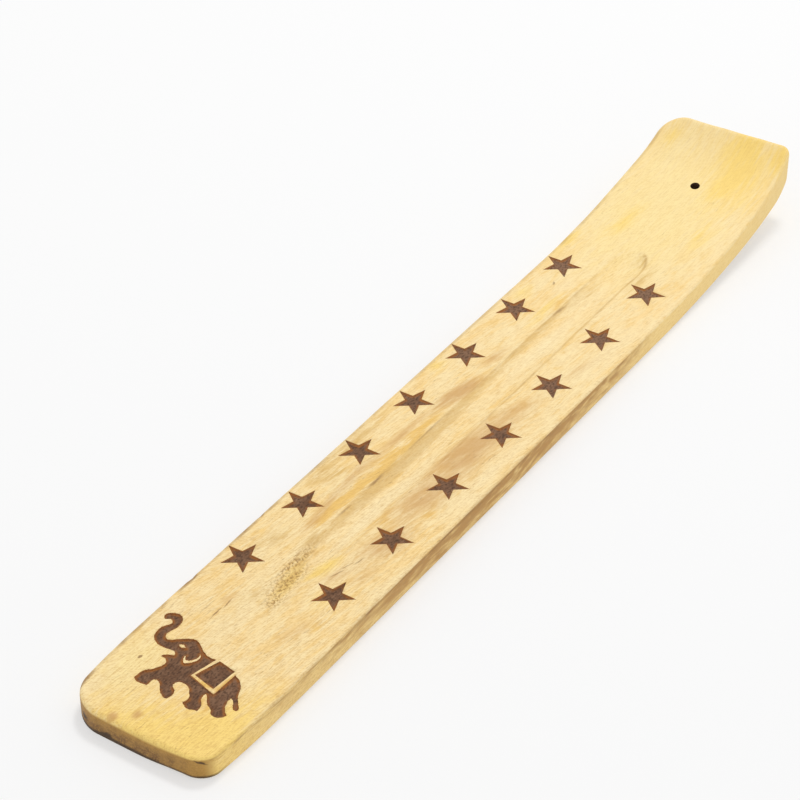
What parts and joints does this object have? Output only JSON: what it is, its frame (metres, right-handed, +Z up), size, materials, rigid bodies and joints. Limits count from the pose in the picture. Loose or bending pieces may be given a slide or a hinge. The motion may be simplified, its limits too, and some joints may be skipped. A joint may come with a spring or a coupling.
{
  "type": "incense stick holder",
  "caption": "Flat wooden ash catcher, swept up at one end where a small hole holds an incense stick over a long ash groove, with burnt-in stars and an elephant.",
  "frame": {"origin": "on the table, under the middle of the board's bounding box", "axes": "+X along the board from the flat end to the raised end, +Y to the left seen from the flat end, +Z up"},
  "size_m": [0.2539, 0.0384, 0.0196],
  "materials": {
    "wood": "pale yellow hardwood, sanded, with a thin satin polish; fine dark pores along the grain",
    "burnt_wood": "matt char, dark purple-brown with an orange-brown scorched rim"
  },
  "bodies": {
    "root": {"board": "wood", "star_left_1": "burnt_wood", "star_left_2": "burnt_wood", "star_left_3": "burnt_wood", "star_left_4": "burnt_wood", "star_left_5": "burnt_wood", "star_left_6": "burnt_wood", "star_left_7": "burnt_wood", "star_right_1": "burnt_wood", "star_right_2": "burnt_wood", "star_right_3": "burnt_wood", "star_right_4": "burnt_wood", "star_right_5": "burnt_wood", "star_right_6": "burnt_wood", "star_right_7": "burnt_wood", "elephant_body": "burnt_wood", "elephant_cloth": "burnt_wood"}
  },
  "joints": []
}
